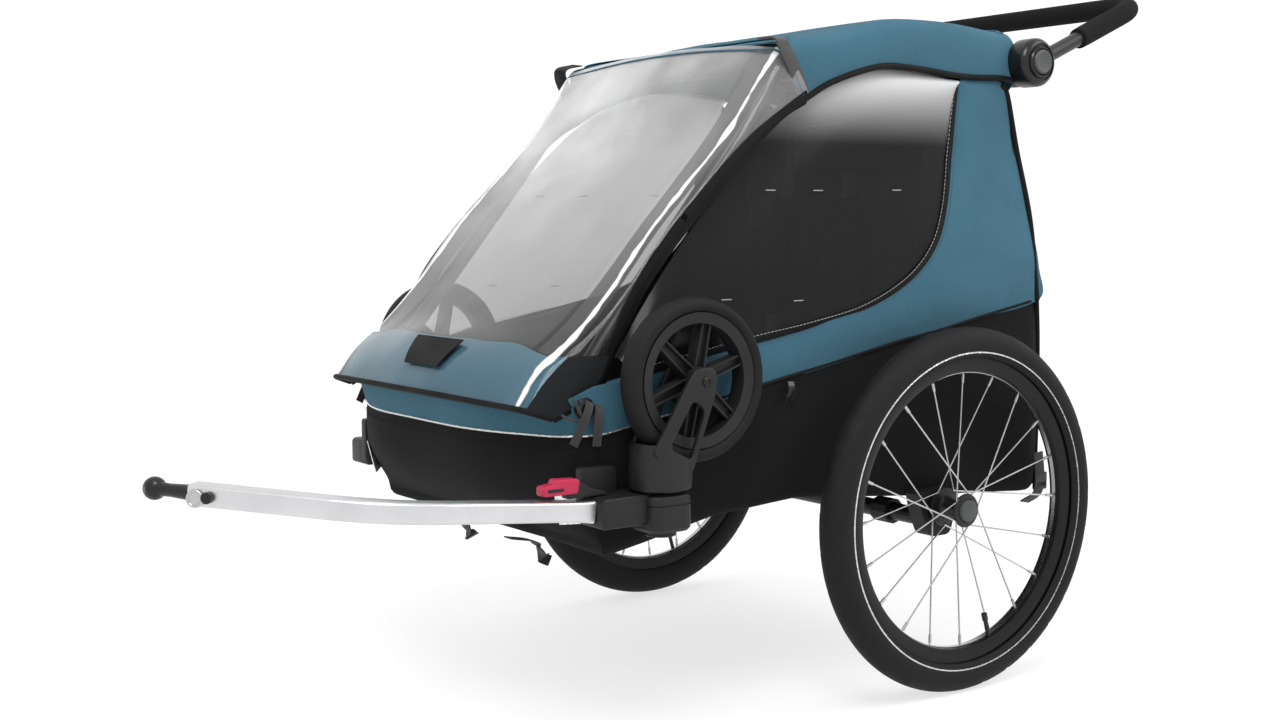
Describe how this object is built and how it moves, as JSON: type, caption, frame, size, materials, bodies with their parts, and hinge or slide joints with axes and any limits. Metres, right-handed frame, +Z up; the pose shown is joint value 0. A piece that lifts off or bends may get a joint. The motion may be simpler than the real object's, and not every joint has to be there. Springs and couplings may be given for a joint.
{
  "type": "child bicycle trailer",
  "caption": "Child bicycle trailer with a folding fabric cabin, spoked wheels, casters stored beside the nose, a tow arm and a push handle.",
  "frame": {"origin": "on the ground under the middle of the trailer's outline", "axes": "+Z up, -Y towards the nose and tow arm, +X to the trailer's left, where the tow arm is"},
  "size_m": [0.7774, 1.548, 0.9895],
  "materials": {
    "black_fabric": "coated woven polyester, matt",
    "blue_fabric": "woven polyester, matt",
    "tinted_window": "smoked flexible film",
    "clear_cover": "clear flexible film",
    "black_tube": "black anodised",
    "black_plastic": "glass filled nylon, fine grain",
    "steel": "zinc plated",
    "grey_plastic": "fine grain",
    "foam_grip": "closed cell foam",
    "wheel_tyre": "matt rubber",
    "black_rim": "black anodised, satin",
    "silver_tube": "clear anodised, satin",
    "red_tab": "satin"
  },
  "bodies": {
    "chassis": {"tub": "black_fabric", "floor_board": "black_plastic", "left_side_rail": "black_tube", "right_side_rail": "black_tube", "front_cross_tube": "black_tube", "rear_cross_tube": "black_tube", "axle_tube": "black_tube", "left_axle_receiver": "black_plastic", "right_axle_receiver": "black_plastic", "left_wheel_axle": "steel", "right_wheel_axle": "steel", "left_caster_bracket": "black_plastic", "right_caster_bracket": "black_plastic", "left_fold_bracket": "steel", "right_fold_bracket": "steel", "seat_cushion": "black_fabric", "left_side_panel": "blue_fabric", "right_side_panel": "blue_fabric", "left_window": "tinted_window", "right_window": "tinted_window", "rear_panel": "blue_fabric"},
    "bow": {"left_bow_tube": "black_tube", "right_bow_tube": "black_tube", "roof_front_bar": "black_tube", "roof_rear_bar": "black_tube", "left_hub_housing": "black_plastic", "right_hub_housing": "black_plastic", "roof_cover": "blue_fabric"},
    "front_cover": {"front_cover": "clear_cover"},
    "rear_upright": {"rear_upright": "black_tube"},
    "seat_back": {"seat_back": "black_fabric"},
    "handle": {"handle_tube": "black_tube", "handle_grip": "foam_grip", "left_handle_knuckle": "black_plastic", "right_handle_knuckle": "black_plastic"},
    "left_button": {"left_handle_button": "grey_plastic"},
    "right_button": {"right_handle_button": "grey_plastic"},
    "left_wheel": {"left_tyre": "wheel_tyre", "left_rim": "black_rim", "left_wheel_hub": "black_plastic", "left_spokes": "steel"},
    "right_wheel": {"right_tyre": "wheel_tyre", "right_rim": "black_rim", "right_wheel_hub": "black_plastic", "right_spokes": "steel"},
    "left_release": {"left_wheel_release_cap": "grey_plastic"},
    "right_release": {"right_wheel_release_cap": "grey_plastic"},
    "left_caster": {"left_caster_fork": "black_plastic"},
    "right_caster": {"right_caster_fork": "black_plastic"},
    "left_caster_roller": {"left_caster_wheel": "black_plastic", "left_caster_tyre": "wheel_tyre", "left_caster_axle": "steel"},
    "right_caster_roller": {"right_caster_wheel": "black_plastic", "right_caster_tyre": "wheel_tyre", "right_caster_axle": "steel"},
    "tow_arm": {"tow_arm": "silver_tube", "hitch_ball": "black_plastic"},
    "hitch_pin": {"hitch_pin": "steel"},
    "release_tab": {"hitch_release_tab": "red_tab"},
    "brake_pedal": {"brake_pedal": "black_plastic"}
  },
  "joints": [
    {"name": "frame_fold", "type": "hinge", "parent": "chassis", "child": "bow", "pos_m": [0, -0.299, 0.423], "axis": [-1, 0, 0], "range_deg": [0, 33], "deforming": ["left_side_panel", "right_side_panel", "left_window", "right_window", "rear_panel"]},
    {"name": "upright_fold", "type": "hinge", "parent": "chassis", "child": "rear_upright", "pos_m": [0, 0.472, 0.4], "axis": [1, 0, 0], "range_deg": [0, 83]},
    {"name": "seat_back_fold", "type": "hinge", "parent": "chassis", "child": "seat_back", "pos_m": [0, 0.32, 0.345], "axis": [1, 0, 0], "range_deg": [0, 98]},
    {"name": "front_cover_opening", "type": "hinge", "parent": "bow", "child": "front_cover", "pos_m": [0, 0.032, 0.884], "axis": [-1, 0, 0], "range_deg": [0, 110]},
    {"name": "handle_tilt", "type": "hinge", "parent": "bow", "child": "handle", "pos_m": [0, 0.483, 0.87], "axis": [1, 0, 0], "range_deg": [-90, 60]},
    {"name": "left_button_press", "type": "slide", "parent": "handle", "child": "left_button", "axis": [-1, 0, 0], "range_m": [0, 0.004], "stiffness_N_per_m": 600, "springref_m": -0.002},
    {"name": "right_button_press", "type": "slide", "parent": "handle", "child": "right_button", "axis": [1, 0, 0], "range_m": [0, 0.004], "stiffness_N_per_m": 600, "springref_m": -0.002},
    {"name": "left_wheel_spin", "type": "hinge", "parent": "chassis", "child": "left_wheel", "pos_m": [0.366, 0.26, 0.25], "axis": [1, 0, 0], "continuous": true},
    {"name": "right_wheel_spin", "type": "hinge", "parent": "chassis", "child": "right_wheel", "pos_m": [-0.366, 0.26, 0.25], "axis": [1, 0, 0], "continuous": true},
    {"name": "left_wheel_release_press", "type": "slide", "parent": "left_wheel", "child": "left_release", "axis": [-1, 0, 0], "range_m": [0, 0.004], "stiffness_N_per_m": 800, "springref_m": -0.002},
    {"name": "right_wheel_release_press", "type": "slide", "parent": "right_wheel", "child": "right_release", "axis": [1, 0, 0], "range_m": [0, 0.004], "stiffness_N_per_m": 800, "springref_m": -0.002},
    {"name": "left_caster_swivel", "type": "hinge", "parent": "chassis", "child": "left_caster", "pos_m": [0.326, -0.2185, 0.3], "axis": [0, 0, -1], "range_deg": [0, 150]},
    {"name": "right_caster_swivel", "type": "hinge", "parent": "chassis", "child": "right_caster", "pos_m": [-0.326, -0.2185, 0.3], "axis": [0, 0, 1], "range_deg": [0, 150]},
    {"name": "left_caster_spin", "type": "hinge", "parent": "left_caster", "child": "left_caster_roller", "pos_m": [0.326, -0.168, 0.452], "axis": [1, 0, 0], "continuous": true},
    {"name": "right_caster_spin", "type": "hinge", "parent": "right_caster", "child": "right_caster_roller", "pos_m": [-0.326, -0.168, 0.452], "axis": [1, 0, 0], "continuous": true},
    {"name": "tow_arm_slide", "type": "slide", "parent": "chassis", "child": "tow_arm", "axis": [0, -1, 0], "range_m": [0, 0.04]},
    {"name": "hitch_pin_pull", "type": "slide", "parent": "tow_arm", "child": "hitch_pin", "axis": [0.6853, -0.7283, 0], "range_m": [0, 0.024]},
    {"name": "release_tab_pull", "type": "slide", "parent": "chassis", "child": "release_tab", "axis": [0, -1, 0], "range_m": [0, 0.008], "stiffness_N_per_m": 300, "springref_m": -0.004},
    {"name": "brake_pedal_press", "type": "hinge", "parent": "chassis", "child": "brake_pedal", "pos_m": [0, 0.26, 0.229], "axis": [-1, 0, 0], "range_deg": [0, 20]}
  ],
  "couplings": [
    {"joint": "upright_fold", "follows": "frame_fold", "ratio": 2.515},
    {"joint": "seat_back_fold", "follows": "frame_fold", "ratio": 2.969}
  ]
}
